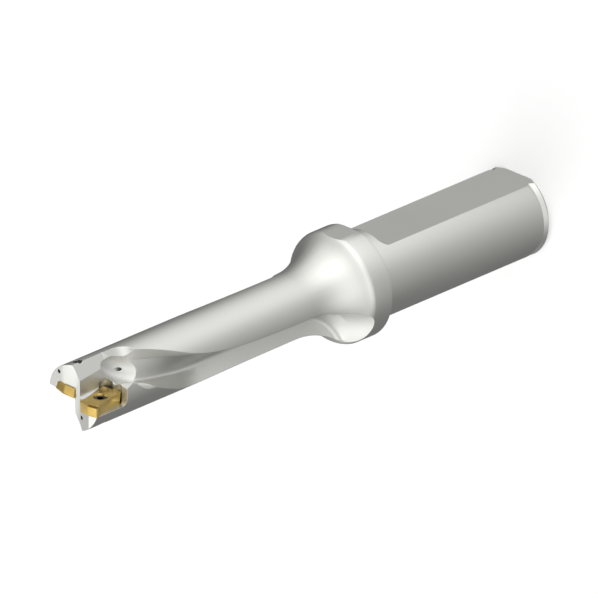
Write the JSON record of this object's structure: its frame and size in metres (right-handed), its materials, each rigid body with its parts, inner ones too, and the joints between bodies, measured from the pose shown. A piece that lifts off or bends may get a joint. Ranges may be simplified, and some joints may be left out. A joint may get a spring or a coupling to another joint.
{
  "type": "indexable drill",
  "caption": "Indexable drill with a cylindrical flatted shank, collar, two flutes and two screwed carbide inserts at the tip.",
  "frame": {"origin": "middle of the shank's end face, on the tool axis, at the mouth of the coolant bore", "axes": "+Z along the tool axis towards the tip, +Y out of the clamping flat, +X to the side of the outer insert"},
  "size_m": [0.025, 0.0245, 0.1325],
  "materials": {
    "tool_steel": "satin nickel-like finish on ground and milled steel",
    "coated_carbide": "gold-coloured titanium nitride coating on carbide",
    "black_screw": "black oxide"
  },
  "bodies": {
    "root": {"drill_body": "tool_steel", "peripheral_insert": "coated_carbide", "central_insert": "coated_carbide", "peripheral_insert_screw": "black_screw", "central_insert_screw": "black_screw"}
  },
  "joints": []
}
